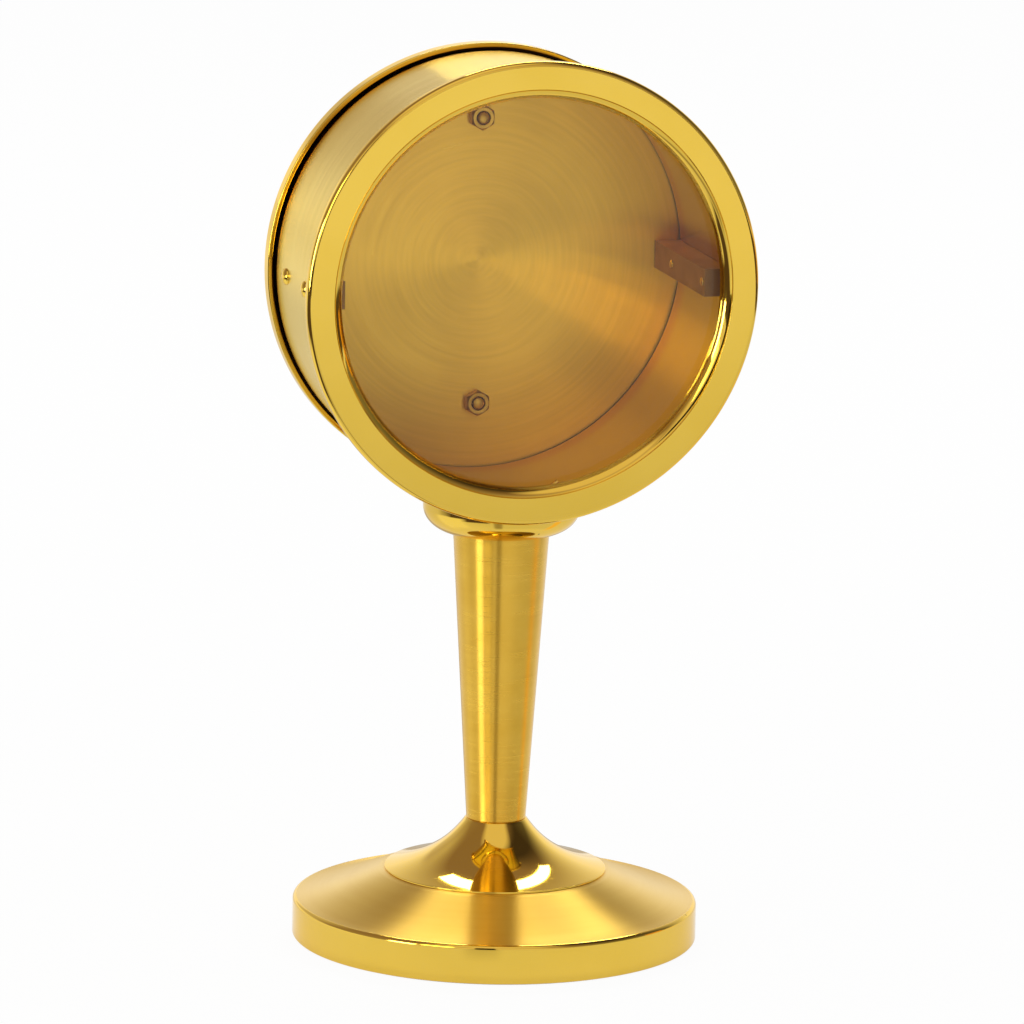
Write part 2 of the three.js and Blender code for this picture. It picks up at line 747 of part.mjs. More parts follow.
for (const [place, side] of [["upper", 1], ["lower", -1]]) {
  const z = side * relicScrewOffset;
  addPart(doorGroup, "relic_screw_" + place, relicScrew(), "polished").position.z = z;
  const ring = washer(relicWasherRadius, relicScrewRadius + slipGap, relicWasherThickness);
  ring.rotateX(-Math.PI / 2);
  addPart(doorGroup, "relic_washer_" + place, ring, "polished").position.set(0, doorBackY, z);
  const nut = hexNut(relicNutAcrossFlats, relicNutHeight, relicScrewRadius + slipGap);
  nut.rotateX(Math.PI / 2);
  addPart(doorGroup, "relic_nut_" + place, nut, "polished").position.set(0, doorInnerY, z);
}

export default model;
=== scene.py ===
# A small reliquary of gilt brass: a round glazed case with a hinged back, on a slim stem and a turned foot.
import math

import bmesh
import bpy
from mathutils import Matrix, Vector, geometry


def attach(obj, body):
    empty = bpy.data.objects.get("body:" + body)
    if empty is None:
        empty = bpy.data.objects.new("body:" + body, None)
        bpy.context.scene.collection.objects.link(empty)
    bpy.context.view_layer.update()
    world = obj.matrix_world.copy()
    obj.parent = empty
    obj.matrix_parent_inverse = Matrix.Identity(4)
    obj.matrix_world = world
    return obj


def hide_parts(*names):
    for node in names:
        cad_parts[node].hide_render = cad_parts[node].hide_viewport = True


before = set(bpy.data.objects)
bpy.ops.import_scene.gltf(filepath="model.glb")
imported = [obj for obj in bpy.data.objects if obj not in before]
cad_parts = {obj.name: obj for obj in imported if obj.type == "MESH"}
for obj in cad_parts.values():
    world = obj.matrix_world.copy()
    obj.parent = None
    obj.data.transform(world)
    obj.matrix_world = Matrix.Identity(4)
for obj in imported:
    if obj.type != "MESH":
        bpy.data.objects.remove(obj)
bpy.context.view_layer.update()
print("frame loaded:", len(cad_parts), "nodes")

mm = 0.001
caseHeight = 160.9  # height of the case's axis above the floor
stand = "stand_and_case"
door = "door"
lock = "lock"


# Shader maths

class Value:
    # one socket in a finish, so that maths on it reads as plain Python
    def __init__(self, finish, socket):
        self.finish = finish
        self.socket = socket

    def of(self, output):
        return Value(self.finish, self.socket.node.outputs[output])

    def maths(self, operation, *terms):
        return self.finish.node("ShaderNodeMath", {"operation": operation}, dict(enumerate(terms)))

    def __add__(self, other):
        return self.maths("ADD", self, other)

    def __radd__(self, other):
        return self.maths("ADD", other, self)

    def __sub__(self, other):
        return self.maths("SUBTRACT", self, other)

    def __rsub__(self, other):
        return self.maths("SUBTRACT", other, self)

    def __mul__(self, other):
        return self.maths("MULTIPLY", self, other)

    def __lt__(self, other):
        return self.maths("LESS_THAN", self, other)


class Finish:
    # the nodes of one material or world; node() adds any node from its type, settings and sockets
    def __init__(self, owner):
        owner.use_nodes = True
        self.owner = owner
        self.tree = owner.node_tree
        self.tree.nodes.clear()

    def node(self, kind, settings=None, sockets=None, output=0):
        made = self.tree.nodes.new(kind)
        for name, setting in (settings or {}).items():
            if name == "stops":
                self.setStops(made.color_ramp, setting)
            else:
                setattr(made, name, setting)
        for key, given in (sockets or {}).items():
            if isinstance(given, Value):
                self.tree.links.new(given.socket, made.inputs[key])
            else:
                made.inputs[key].default_value = given
        return Value(self, made.outputs[output]) if made.outputs else made

    def setStops(self, ramp, stops):
        while len(ramp.elements) < len(stops):
            ramp.elements.new(1)
        for element, (place, colour) in zip(ramp.elements, stops):
            element.position = place
            element.color = colour

    def vector(self, operation, *terms, output=0):
        return self.node("ShaderNodeVectorMath", {"operation": operation}, dict(enumerate(terms)), output)

    def blend(self, share, first, second):
        return self.node("ShaderNodeMix", {"data_type": "RGBA"}, {0: share, 6: first, 7: second}, output=2)

    def noise(self, place, scale, detail=2.0, roughness=0.5):
        sockets = {"Vector": place, "Scale": scale, "Detail": detail, "Roughness": roughness}
        return self.node("ShaderNodeTexNoise", {"noise_dimensions": "3D"}, sockets)

    def ramp(self, value, low, high):
        stops = [(low, (0, 0, 0, 1)), (high, (1, 1, 1, 1))]
        return self.node("ShaderNodeValToRGB", {"stops": stops}, {0: value})

    def place(self):
        return self.node("ShaderNodeTexCoord", output="Object")

    def emission(self, colour):
        return self.node("ShaderNodeEmission", None, {"Color": colour, "Strength": 1.0})

    def surface(self, shader):
        self.node("ShaderNodeOutputMaterial", None, {"Surface": shader})
        return self.owner


def newFinish(name):
    return Finish(bpy.data.materials.new(name))


# Finishes. Colours are linear.

gilt = {
    "base": (0.81, 0.54, 0.06, 1), "deep": (0.79, 0.52, 0.05, 1), "pit": (0.12, 0.07, 0.02, 1), "rough": 0.05,
    "clouds": 60, "smears": 260, "scratches": (300, 300, 2600), "waves": 90, "waveDepth": 0.0004,
    "cells": 110, "pitSize": 0.035, "pitShare": 0.34, "pitDepth": 0.75,
}


def polishedBrass(name):
    f = newFinish(name)
    place = f.place()
    cloud = f.noise(place, gilt["clouds"], 3)
    smear = f.noise(place, gilt["smears"], 4, 0.6)
    scratch = f.noise(f.vector("MULTIPLY", place, gilt["scratches"]), 1, 2)
    colour = f.blend(f.ramp(cloud, 0.35, 0.7), gilt["base"], gilt["deep"])
    roughness = gilt["rough"] + smear * 0.03 + f.ramp(scratch, 0.68, 0.74) * 0.03
    waves = f.noise(place, gilt["waves"], 1) * 0.9 + smear * 0.1
    bump = f.node("ShaderNodeBump", None, {"Strength": 0.05, "Distance": gilt["waveDepth"], "Height": waves})
    # small dark pits, a few to the square inch
    cell = f.node("ShaderNodeTexVoronoi", None, {"Vector": place, "Scale": gilt["cells"]})
    pit = (cell < gilt["pitSize"]) * (cell.of("Color") < gilt["pitShare"])
    shader = f.node("ShaderNodeBsdfPrincipled", None, {
        "Base Color": f.blend(pit * gilt["pitDepth"], colour, gilt["pit"]), "Metallic": 1.0,
        "Roughness": roughness, "Normal": bump, "Specular Tint": (1.0, 0.85, 0.5, 1),
        "Coat Weight": 0.6, "Coat Roughness": 0.02,
    })
    return f.surface(shader)


def brushedBrass(name, axis, centre, brush):
    # brushed round an axis: the lines run round it, so gloss spreads across them
    f = newFinish(name)
    along = Vector(axis)
    centred = f.vector("SUBTRACT", f.place(), tuple(c * mm for c in centre))
    flat = f.vector("MULTIPLY", centred, tuple(Vector((1, 1, 1)) - along))
    outward = f.vector("NORMALIZE", flat)
    radius = f.vector("LENGTH", flat, output="Value")
    height = f.vector("DOT_PRODUCT", centred, tuple(along), output="Value")
    lines = (radius - height) * brush["grain"]
    rings = f.node("ShaderNodeVectorMath", {"operation": "SCALE"}, {0: tuple(along), "Scale": lines})
    wideRings = f.vector("MULTIPLY", rings, (brush["ring"],) * 3)
    fine = f.noise(f.vector("MULTIPLY_ADD", outward, (0.9,) * 3, rings), 1, 2)
    broad = f.noise(f.vector("MULTIPLY_ADD", outward, (1.2,) * 3, wideRings), 1, 2)
    cloud = f.noise(f.place(), 45, 3)
    colour = f.blend(f.ramp(broad * 0.6 + cloud * 0.4, 0.38, 0.62), brush["base"], brush["other"])
    if "glow" in brush:
        # the warm glow that a neighbouring gilt face throws near one end
        low, high, warm = brush["glow"]
        colour = f.blend(f.ramp(height, low * mm, high * mm), colour, warm)
    roughness = brush["rough"] + (fine - 0.5) * brush["streak"] + (cloud - 0.5) * 0.06
    bump = f.node("ShaderNodeBump", None, {"Strength": brush["wave"], "Distance": 0.00003, "Height": fine})
    sideways = f.vector("CROSS_PRODUCT", tuple(along), outward)
    settings = {"vector_type": "VECTOR", "convert_from": "OBJECT", "convert_to": "WORLD"}
    tangent = f.node("ShaderNodeVectorTransform", settings, {0: sideways})
    shader = f.node("ShaderNodeBsdfPrincipled", None, {
        "Base Color": colour, "Metallic": 1.0, "Roughness": roughness, "Normal": bump,
        "Anisotropic": 0.95, "Anisotropic Rotation": 0.25, "Tangent": tangent,
        "Coat Weight": brush["coat"], "Coat Roughness": 0.15,
    })
    return f.surface(shader)


def dullBrass(name, base, rough):
    f = newFinish(name)
    place = f.place()
    cloud = f.noise(place, 150, 4, 0.6)
    colour = f.blend(f.ramp(cloud, 0.35, 0.65), base, tuple(c * 0.85 for c in base[:3]) + (1,))
    grit = f.noise(place, 2500, 3)
    bump = f.node("ShaderNodeBump", None, {"Strength": 0.1, "Distance": 0.00005, "Height": grit})
    return f.surface(f.node("ShaderNodeBsdfPrincipled", None, {
        "Base Color": colour, "Metallic": 1.0, "Roughness": rough + (cloud - 0.5) * 0.1, "Normal": bump,
    }))


def clearGlass(name):
    f = newFinish(name)
    place = f.place()
    haze = f.ramp(f.noise(place, 70, 3), 0.45, 0.8)
    gloss = f.node("ShaderNodeBsdfPrincipled", None, {
        "Base Color": (0.95, 0.96, 0.95, 1), "Metallic": 1.0, "Roughness": 0.01 + haze * 0.02,
    })
    clear = f.node("ShaderNodeBsdfTransparent", None, {"Color": (0.99, 0.99, 0.985, 1)})
    share = f.node("ShaderNodeFresnel", None, {"IOR": 1.45}) * 0.5
    return f.surface(f.node("ShaderNodeMixShader", None, {0: share, 1: clear, 2: gloss}))


def plainSteel(name):
    f = newFinish(name)
    place = f.place()
    turned = f.noise(f.vector("MULTIPLY", place, (400, 400, 4000)), 1, 3)
    colour = f.blend(turned, (0.42, 0.42, 0.43, 1), (0.56, 0.56, 0.57, 1))
    bump = f.node("ShaderNodeBump", None, {"Strength": 0.2, "Distance": 0.00002, "Height": turned})
    return f.surface(f.node("ShaderNodeBsdfPrincipled", None, {
        "Base Color": colour, "Metallic": 1.0, "Roughness": 0.25 + turned * 0.15, "Normal": bump,
    }))


def castIron(name):
    f = newFinish(name)
    sand = f.noise(f.place(), 1400, 5, 0.6)
    bump = f.node("ShaderNodeBump", None, {"Strength": 0.6, "Distance": 0.0002, "Height": sand})
    colour = f.blend(sand, (0.03, 0.03, 0.033, 1), (0.09, 0.085, 0.08, 1))
    return f.surface(f.node("ShaderNodeBsdfPrincipled", None, {
        "Base Color": colour, "Roughness": 0.7 + sand * 0.2, "Normal": bump,
    }))


def padRubber(name):
    f = newFinish(name)
    place = f.place()
    pebble = f.node("ShaderNodeTexVoronoi", None, {"Vector": place, "Scale": 900})
    dust = f.ramp(f.noise(place, 120, 4), 0.5, 0.8)
    colour = f.blend(dust, (0.018, 0.014, 0.011, 1), (0.05, 0.042, 0.034, 1))
    bump = f.node("ShaderNodeBump", None, {"Strength": 0.5, "Distance": 0.0001, "Height": pebble})
    return f.surface(f.node("ShaderNodeBsdfPrincipled", None, {
        "Base Color": colour, "Roughness": 0.75 + dust * 0.15, "Normal": bump,
    }))


caseCentre = (0, 0, caseHeight)
roundCase = ((0, 1, 0), caseCentre)
roundStand = ((0, 0, 1), (0, 0, 0))
plateBrush = {
    "base": (0.865, 0.525, 0.066, 1), "other": (0.79, 0.475, 0.06, 1), "rough": 0.31, "coat": 0.0,
    "grain": 1500, "ring": 0.8, "wave": 0.05, "streak": 0.11,
}
wallBrush = {
    "base": (0.84, 0.595, 0.062, 1), "other": (0.82, 0.565, 0.055, 1), "rough": 0.22, "coat": 0.2,
    "grain": 1500, "ring": 0.13, "wave": 0.012, "streak": 0.10, "glow": (16.8, 18.4, (0.78, 0.42, 0.05, 1)),
}
stemBrush = {
    "base": (0.83, 0.525, 0.075, 1), "other": (0.79, 0.485, 0.06, 1), "rough": 0.29, "coat": 0.0,
    "grain": 1500, "ring": 0.13, "wave": 0.025, "streak": 0.12,
}
footBrush = {
    "base": (0.78, 0.52, 0.078, 1), "other": (0.76, 0.495, 0.068, 1), "rough": 0.36, "coat": 0.0,
    "grain": 2600, "ring": 0.13, "wave": 0.04, "streak": 0.05,
}
polished = polishedBrass("polishedBrass")
brushedPlate = brushedBrass("brushedPlate", *roundCase, plateBrush)
brushedWall = brushedBrass("brushedWall", *roundCase, wallBrush)
brushedStem = brushedBrass("brushedStem", *roundStand, stemBrush)
brushedFoot = brushedBrass("brushedFoot", *roundStand, footBrush)
# painted shade: a near-black brass painted where narrow gaps and joints lie in shadow
gapShadeBrass = dullBrass("gapShadeBrass", (0.10, 0.055, 0.02, 1), 0.6)
barBrass = dullBrass("barBrass", (0.58, 0.30, 0.055, 1), 0.5)
nutBrass = dullBrass("nutBrass", (0.68, 0.40, 0.055, 1), 0.36)
# painted shade: a darker brass for the bars' front ends
barEndShade = dullBrass("barEndShade", (0.36, 0.17, 0.03, 1), 0.6)
steel = plainSteel("steel")
iron = castIron("castIron")
rubber = padRubber("padRubber")
glass = clearGlass("clearGlass")
print("finishes made")


# Modelling helpers. Lengths are in millimetres until a mesh is finished.

axisTurns = {
    "X": Matrix.Rotation(math.radians(90), 4, "Y"),
    "Y": Matrix.Rotation(math.radians(-90), 4, "X"),
    "Z": Matrix.Identity(4),
}


def sweep(start, startHandle, endHandle, end, count):
    corners = [Vector((*p, 0)) for p in (start, startHandle, endHandle, end)]
    return [(p.x, p.y) for p in geometry.interpolate_bezier(*corners, count)]


def roundPart(centre, radii, first, last, count):
    # part of an ellipse, from one angle to another in degrees
    angles = [math.radians(first + (last - first) * i / (count - 1)) for i in range(count)]
    return [(centre[0] + radii[0] * math.cos(a), centre[1] + radii[1] * math.sin(a)) for a in angles]


def outline(points, closed, segments):
    # points are (radius, height) or (radius, height, round)
    bm = bmesh.new()
    corners = [bm.verts.new((p[0], 0, p[1])) for p in points]
    ends = corners[1:] + ([corners[0]] if closed else [])
    for corner, nextCorner in zip(corners, ends):
        bm.edges.new((corner, nextCorner))
    for corner, point in zip(corners, points):
        if len(point) > 2:
            bmesh.ops.bevel(
                bm, geom=[corner], offset=point[2], offset_type="OFFSET", segments=segments,
                profile=0.5, affect="VERTICES", material=-1,
            )
    return bm


def turned(points, axis="Z", centre=(0, 0, 0), steps=144, closed=False, segments=5):
    bm = outline(points, closed, segments)
    bmesh.ops.spin(
        bm, geom=bm.verts[:] + bm.edges[:], cent=(0, 0, 0), axis=(0, 0, 1), angle=2 * math.pi,
        steps=steps, use_merge=True,
    )
    bmesh.ops.remove_doubles(bm, verts=bm.verts, dist=0.0005)
    bmesh.ops.recalc_face_normals(bm, faces=bm.faces)
    bm.transform(Matrix.Translation(centre) @ axisTurns[axis])
    return bm


def prism(plan, low, high):
    # a flat plan in X and Y, raised from one height to another
    bm = bmesh.new()
    face = bm.faces.new([bm.verts.new((x, y, low)) for x, y in plan])
    raised = bmesh.ops.extrude_face_region(bm, geom=[face])
    top = [v for v in raised["geom"] if isinstance(v, bmesh.types.BMVert)]
    bmesh.ops.translate(bm, verts=top, vec=(0, 0, high - low))
    bmesh.ops.recalc_face_normals(bm, faces=bm.faces)
    return bm


def block(low, high):
    bm = bmesh.new()
    bmesh.ops.create_cube(bm, size=1)
    size = Vector(high) - Vector(low)
    bm.transform(Matrix.Translation((Vector(low) + Vector(high)) / 2) @ Matrix.Diagonal((*size, 1)))
    return bm


def meshObject(bm, name):
    mesh = bpy.data.meshes.new(name)
    bm.to_mesh(mesh)
    bm.free()
    made = bpy.data.objects.new(name, mesh)
    bpy.context.scene.collection.objects.link(made)
    return made


def shaped(bm, *cuts):
    # a bmesh changed by others, each with its Boolean operation
    base = meshObject(bm, "shaping")
    tools = []
    for operation, tool in cuts:
        tools.append(meshObject(tool, "shapingTool"))
        change = base.modifiers.new("shape", "BOOLEAN")
        change.operation = operation
        change.solver = "EXACT"
        change.object = tools[-1]
    ready = base.evaluated_get(bpy.context.evaluated_depsgraph_get())
    result = bmesh.new()
    result.from_mesh(ready.to_mesh())
    ready.to_mesh_clear()
    for spare in [base, *tools]:
        bpy.data.objects.remove(spare)
    bmesh.ops.remove_doubles(result, verts=result.verts, dist=0.0005)
    return result


def piece(name, bm, body, materials, nodes, creaseAngle=32, softEdge=0.0, choose=None):
    # scales the mesh to metres, shades it, gives it its materials, ties it to its body and hides its CAD
    # nodes
    bm.transform(Matrix.Scale(mm, 4))
    for face in bm.faces:
        face.smooth = True
        if choose:
            face.material_index = choose(face.calc_center_median() / mm)
    for edge in bm.edges:
        edge.smooth = edge.calc_face_angle(math.pi) < math.radians(creaseAngle)
    made = meshObject(bm, name)
    for material in materials:
        made.data.materials.append(material)
    if softEdge:
        bevel = made.modifiers.new("softEdge", "BEVEL")
        bevel.width = softEdge * mm
        bevel.segments = 2
        bevel.angle_limit = math.radians(creaseAngle)
        bevel.harden_normals = False
    weighted = made.modifiers.new("weightedNormal", "WEIGHTED_NORMAL")
    weighted.keep_sharp = True
    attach(made, body)
    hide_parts(*nodes)
    return made


def distanceFromAxis(place):
    return math.hypot(place.x, place.z - caseHeight)


def rod(radius, half=60):
    # the outline of a solid cylinder, to cut or to keep with
    return [(0, -half), (radius, -half), (radius, half), (0, half)]


# Foot

foot = {
    "radius": 48.5, "hem": 0.3, "hemRound": 0.7, "sideTop": 9.6, "edgeRound": 0.9,
    "slope": [(47.5, 9.6), (41.1, 10.6), (34.6, 14.0), (26.9, 16.8)],
    "sheet": 0.9, "hole": 3.3, "inset": 0.2, "insideRound": 1.0, "satinReach": 47.6, "satinLow": 9,
    "padRadius": 47.3, "padHeight": 1.2, "padRounds": (0.4, 0.3),
}
footInside = foot["radius"] - foot["sheet"]
slope = sweep(*foot["slope"], 18)
footOutline = [
    (footInside, foot["hem"]),
    (foot["radius"], foot["hem"], foot["hemRound"]),
    (foot["radius"], foot["sideTop"], foot["edgeRound"]),
    *slope[1:],
    (foot["hole"], slope[-1][1]),
    (foot["hole"], slope[-1][1] - foot["sheet"]),
    *[(r - foot["inset"], z - foot["sheet"]) for r, z in reversed(slope[1:])],
    (footInside, foot["sideTop"] - foot["sheet"], foot["insideRound"]),
]


def footFinish(place):
    return 1 if math.hypot(place.x, place.y) < foot["satinReach"] and place.z > foot["satinLow"] else 0


piece("footShell", turned(footOutline, closed=True, steps=192, segments=6), stand,
      [polished, brushedFoot], ["base_shell"], choose=footFinish)
lowRound, topRound = foot["padRounds"]
padOutline = [
    (0, 0), (foot["padRadius"], 0, lowRound),
    (foot["padRadius"], foot["padHeight"], topRound), (0, foot["padHeight"]),
]
piece("footPad", turned(padOutline, steps=96), stand, [rubber], ["base_pad"])

flare = {
    "radius": 26.6, "seat": 16.8, "lip": 0.45, "top": (7.3, 29.4), "bore": 3.2, "wall": 0.9,
    "handles": [(16.8, 19.7), (11.7, 23.2)], "lipWidth": 1.4, "lipRounds": (0.08, 0.1), "topRound": 0.25,
    "topDepth": 2, "topWidth": 1.6, "inset": 1.0,
}
lipTop = flare["seat"] + flare["lip"]
flareCurve = sweep((flare["radius"], lipTop), *flare["handles"], flare["top"], 28)
flareOutline = [
    (flare["radius"] - flare["lipWidth"], flare["seat"]),
    (flare["radius"], flare["seat"], flare["lipRounds"][0]),
    (flare["radius"], lipTop, flare["lipRounds"][1]),
    *flareCurve[1:-1],
    (*flare["top"], flare["topRound"]),
    (flare["bore"], flare["top"][1]),
    (flare["bore"], flare["top"][1] - flare["topDepth"]),
    (flare["top"][0] - flare["topWidth"], flare["top"][1] - flare["topDepth"]),
    *[(r - flare["inset"], z - flare["wall"]) for r, z in reversed(flareCurve[3:-4])],
]
piece("stemFlare", turned(flareOutline, closed=True, steps=160), stand,
      [polished], ["stem_flare"])

stem = {"footRadius": 7.1, "topRadius": 11.5, "low": 29.4, "high": 99.4, "wall": 1.2, "edge": 0.2}
stemOutline = [
    (stem["footRadius"] - stem["wall"], stem["low"]),
    (stem["footRadius"], stem["low"], stem["edge"]),
    (stem["topRadius"], stem["high"], stem["edge"]),
    (stem["topRadius"] - stem["wall"], stem["high"]),
]
piece("stemTube", turned(stemOutline, closed=True, steps=160, segments=3), stand,
      [brushedStem], ["stem"])
print("foot and stem made")

# Collar: a turned bowl whose top is saddled to the case wall

collar = {
    "seat": 99.4, "flat": 11.0, "bowlHeight": 105.6, "bowl": (7.8, 6.2), "radius": 18.8, "saddle": 51.6,
    "edge": 0.5, "uncutTop": 120.0, "edgeLow": 108, "edgeAngle": 0.7,
}
collarOutline = [
    (0, collar["seat"]),
    *roundPart((collar["flat"], collar["bowlHeight"]), collar["bowl"], -90, 0, 16),
    (collar["radius"], collar["uncutTop"]),
    (0, collar["uncutTop"]),
]
saddle = turned(rod(collar["saddle"]), "Y", caseCentre, steps=288)
collarMesh = shaped(turned(collarOutline, steps=144), ("DIFFERENCE", saddle))


def onBowl(vert):
    return abs(math.hypot(vert.co.x, vert.co.y) - collar["radius"]) < 0.02 and vert.co.z > collar["edgeLow"]


saddleEdge = [
    edge for edge in collarMesh.edges
    if all(onBowl(vert) for vert in edge.verts) and edge.calc_face_angle(0) > collar["edgeAngle"]
]
bmesh.ops.bevel(collarMesh, geom=saddleEdge, offset=collar["edge"], offset_type="OFFSET", segments=3,
                profile=0.5, affect="EDGES", material=-1)
piece("saddleCollar", collarMesh, stand, [polished], ["collar"])

# Case wall, bezel, glass and clip

case = {
    "inner": 50.5, "outer": 51.3, "front": -21.7, "back": 23.2, "edge": 0.15,
    "brightEnd": 18.4, "seam": 22.75, "insideReach": 51.0,
}
wallOutline = [
    (case["inner"], case["front"]),
    (case["outer"], case["front"], case["edge"]),
    (case["outer"], case["brightEnd"]),
    (case["outer"], case["back"], case["edge"]),
    (case["inner"], case["back"], case["edge"]),
    (case["inner"], case["seam"]),
]


def wallFinish(place):
    if distanceFromAxis(place) < case["insideReach"]:
        # painted shade: the inside of the wall's back end, where it meets the door, is painted dark for the
        # shadow line at the joint
        return 2 if place.y > case["seam"] else 0
    return 1 if place.y > case["brightEnd"] else 0


piece("caseWall", turned(wallOutline, "Y", caseCentre, closed=True, steps=216), stand,
      [brushedWall, polished, gapShadeBrass], ["case_wall"], choose=wallFinish)

bezel = {
    "radius": 55.3, "opening": 46.34, "face": -24.3, "back": -21.7, "outerRound": 1.2, "backRound": 0.4,
    "cove": (49.48, -21.18), "coveRadii": (3.18, 3.18), "quirk": (48.6, -24.08), "faceInner": 48.76,
    "spigotOuter": 50.35, "spigotInner": 49.5, "spigotEnd": -16.8, "spigotRound": 0.15,
    "groove": 49.9, "grooveFront": -19.35, "grooveBack": -17.65,
}
bezelOutline = [
    (bezel["opening"], bezel["back"]),
    *roundPart(bezel["cove"], bezel["coveRadii"], 190, 252, 14),
    bezel["quirk"],
    (bezel["faceInner"], bezel["face"], 0.05),
    (bezel["radius"], bezel["face"], bezel["outerRound"]),
    (bezel["radius"], bezel["back"], bezel["backRound"]),
    (bezel["spigotOuter"], bezel["back"]),
    (bezel["spigotOuter"], bezel["spigotEnd"], bezel["spigotRound"]),
    (bezel["spigotInner"], bezel["spigotEnd"], bezel["spigotRound"]),
    (bezel["spigotInner"], bezel["grooveBack"]),
    (bezel["groove"], bezel["grooveBack"]),
    (bezel["groove"], bezel["grooveFront"]),
    (bezel["spigotInner"], bezel["grooveFront"]),
    (bezel["spigotInner"], bezel["back"]),
]
piece("frontBezel", turned(bezelOutline, "Y", caseCentre, closed=True, steps=216, segments=8), stand,
      [polished], ["front_bezel"])

pane = {"radius": 49.35, "front": -21.66, "back": -19.2, "edge": 0.25}
paneOutline = [
    (0, pane["front"]), (pane["radius"], pane["front"], pane["edge"]),
    (pane["radius"], pane["back"], pane["edge"]), (0, pane["back"]),
]
piece("glassPane", turned(paneOutline, "Y", caseCentre, steps=144, segments=2), stand,
      [glass], ["front_glass"])

clip = {
    "wire": 0.7, "radius": 49.05, "y": -18.5, "endX": 8.6, "gap": 8.0, "lift": 2.2, "liftLength": 9.0,
    "points": 160,
}
clipEnd = 2 * math.pi + math.asin(clip["endX"] / clip["radius"])
clipStart = clipEnd - 2 * math.pi + clip["gap"] / clip["radius"]
wire = bpy.data.curves.new("clipWire", "CURVE")
wire.dimensions = "3D"
wire.bevel_depth = clip["wire"]
wire.bevel_resolution = 4
wire.use_fill_caps = True
path = wire.splines.new("POLY")
path.points.add(clip["points"] - 1)
for i, point in enumerate(path.points):
    angle = clipStart + (clipEnd - clipStart) * i / (clip["points"] - 1)
    lifted = max(0, 1 - (clipEnd - angle) * clip["radius"] / clip["liftLength"])
    radius = clip["radius"] - clip["lift"] * lifted ** 2
    point.co = (radius * math.sin(angle), clip["y"], caseHeight - radius * math.cos(angle), 1)
wireObject = bpy.data.objects.new("clipWire", wire)
clipMesh = bmesh.new()
clipMesh.from_mesh(wireObject.to_mesh())
wireObject.to_mesh_clear()
bpy.data.objects.remove(wireObject)
bmesh.ops.remove_doubles(clipMesh, verts=clipMesh.verts, dist=0.0005)
bmesh.ops.recalc_face_normals(clipMesh, faces=clipMesh.faces)
piece("springClip", clipMesh, stand, [polished], ["glass_clip"])
print("collar, wall, bezel and glass made")

# Bars inside the wall, and their rivets

bar = {
    "face": 44.1, "outer": 50.35, "height": 6.6, "front": -16.5, "back": 23.2, "edge": 0.2, "endDepth": 0.3,
    "spare": 2,
}


def sideBar(side):
    # its outer face follows the wall
    halfHeight = bar["height"] / 2
    uncut = bar["outer"] + bar["spare"]
    square = block((bar["face"], bar["front"], -halfHeight), (uncut, bar["back"], halfHeight))
    bm = shaped(square, ("INTERSECT", turned(rod(bar["outer"]), "Y", steps=288)))
    if side < 0:
        bm.transform(Matrix.Rotation(math.pi, 4, "Z"))
        bm.transform(Matrix.Translation((0, bar["front"] + bar["back"], 0)))
    bm.transform(Matrix.Translation((0, 0, caseHeight)))
    return bm


def barFinish(place):
    # painted shade: each bar's front end is painted darker, and its back end, where it meets the door,
    # near-black for the shadow line
    if place.y < bar["front"] + bar["endDepth"]:
        return 2
    return 1 if place.y > bar["back"] - bar["endDepth"] else 0


barFinishes = [barBrass, gapShadeBrass, barEndShade]
piece("barRight", sideBar(1), stand, barFinishes, ["bar_right"], softEdge=bar["edge"],
      choose=barFinish)
piece("barLeft", sideBar(-1), stand, barFinishes, ["bar_left"], softEdge=bar["edge"],
      choose=barFinish)

rivet = {
    "shank": 0.8, "head": 2.0, "headHeight": 1.1, "tail": 1.05, "tailHeight": 0.4, "tailSeat": 44.05,
    "rightSeat": 52.25, "leftSeat": 51.3, "rightPlaces": {"front": -14.5, "rear": 9.5},
    "leftPlaces": {"front": -7.2, "rear": 9.8},
}
for place in ("front", "rear"):
    for side, sign in (("Right", 1), ("Left", -1)):
        seat = rivet[side.lower() + "Seat"]
        rivetOutline = [
            *roundPart((0, rivet["tailSeat"]), (rivet["tail"], rivet["tailHeight"]), -90, 0, 5),
            (rivet["shank"], rivet["tailSeat"]),
            (rivet["shank"], seat),
            *roundPart((0, seat), (rivet["head"], rivet["headHeight"]), 0, 90, 8),
        ]
        bm = turned(rivetOutline, "X", steps=32)
        bm.transform(Matrix.Rotation(0 if sign > 0 else math.pi, 4, "Z"))
        bm.transform(Matrix.Translation((0, rivet[side.lower() + "Places"][place], caseHeight)))
        piece("rivet" + side + place.capitalize(), bm, stand, [polished],
              ["rivet_" + side.lower() + "_" + place])

# Door: a shallow pan whose rim stands round the wall's back end

pan = {
    "radius": 53.0, "rimInner": 51.85, "rimFront": 20.25, "inner": 23.5, "back": 24.3, "edgeRound": 1.0,
    "lip": 0.3, "cornerRound": 0.2, "satinReach": 50.6, "satinBack": 51.2,
    "channel": (20.65, 23.7), "channelReach": 51.95,
}
panOutline = [
    (0, pan["inner"]),
    (pan["satinReach"], pan["inner"]),
    (pan["rimInner"], pan["inner"], pan["cornerRound"]),
    (pan["rimInner"], pan["rimFront"], pan["lip"]),
    (pan["radius"], pan["rimFront"], pan["lip"]),
    (pan["radius"], pan["back"], pan["edgeRound"]),
    (0, pan["back"]),
]


def panFinish(place):
    # painted shade: the channel between the rim and the wall is painted dark for the shadow in the gap
    reach = distanceFromAxis(place)
    channelFront, channelBack = pan["channel"]
    if channelFront < place.y < channelBack and pan["satinReach"] < reach < pan["channelReach"]:
        return 2
    return 1 if reach > pan["satinBack"] else 0


piece("rearDoor", turned(panOutline, "Y", caseCentre, steps=216), door,
      [brushedPlate, polished, gapShadeBrass], ["rear_door"], choose=panFinish)

# Hinge: a rolled strap on the case, a rolled leaf on the door, and its pin

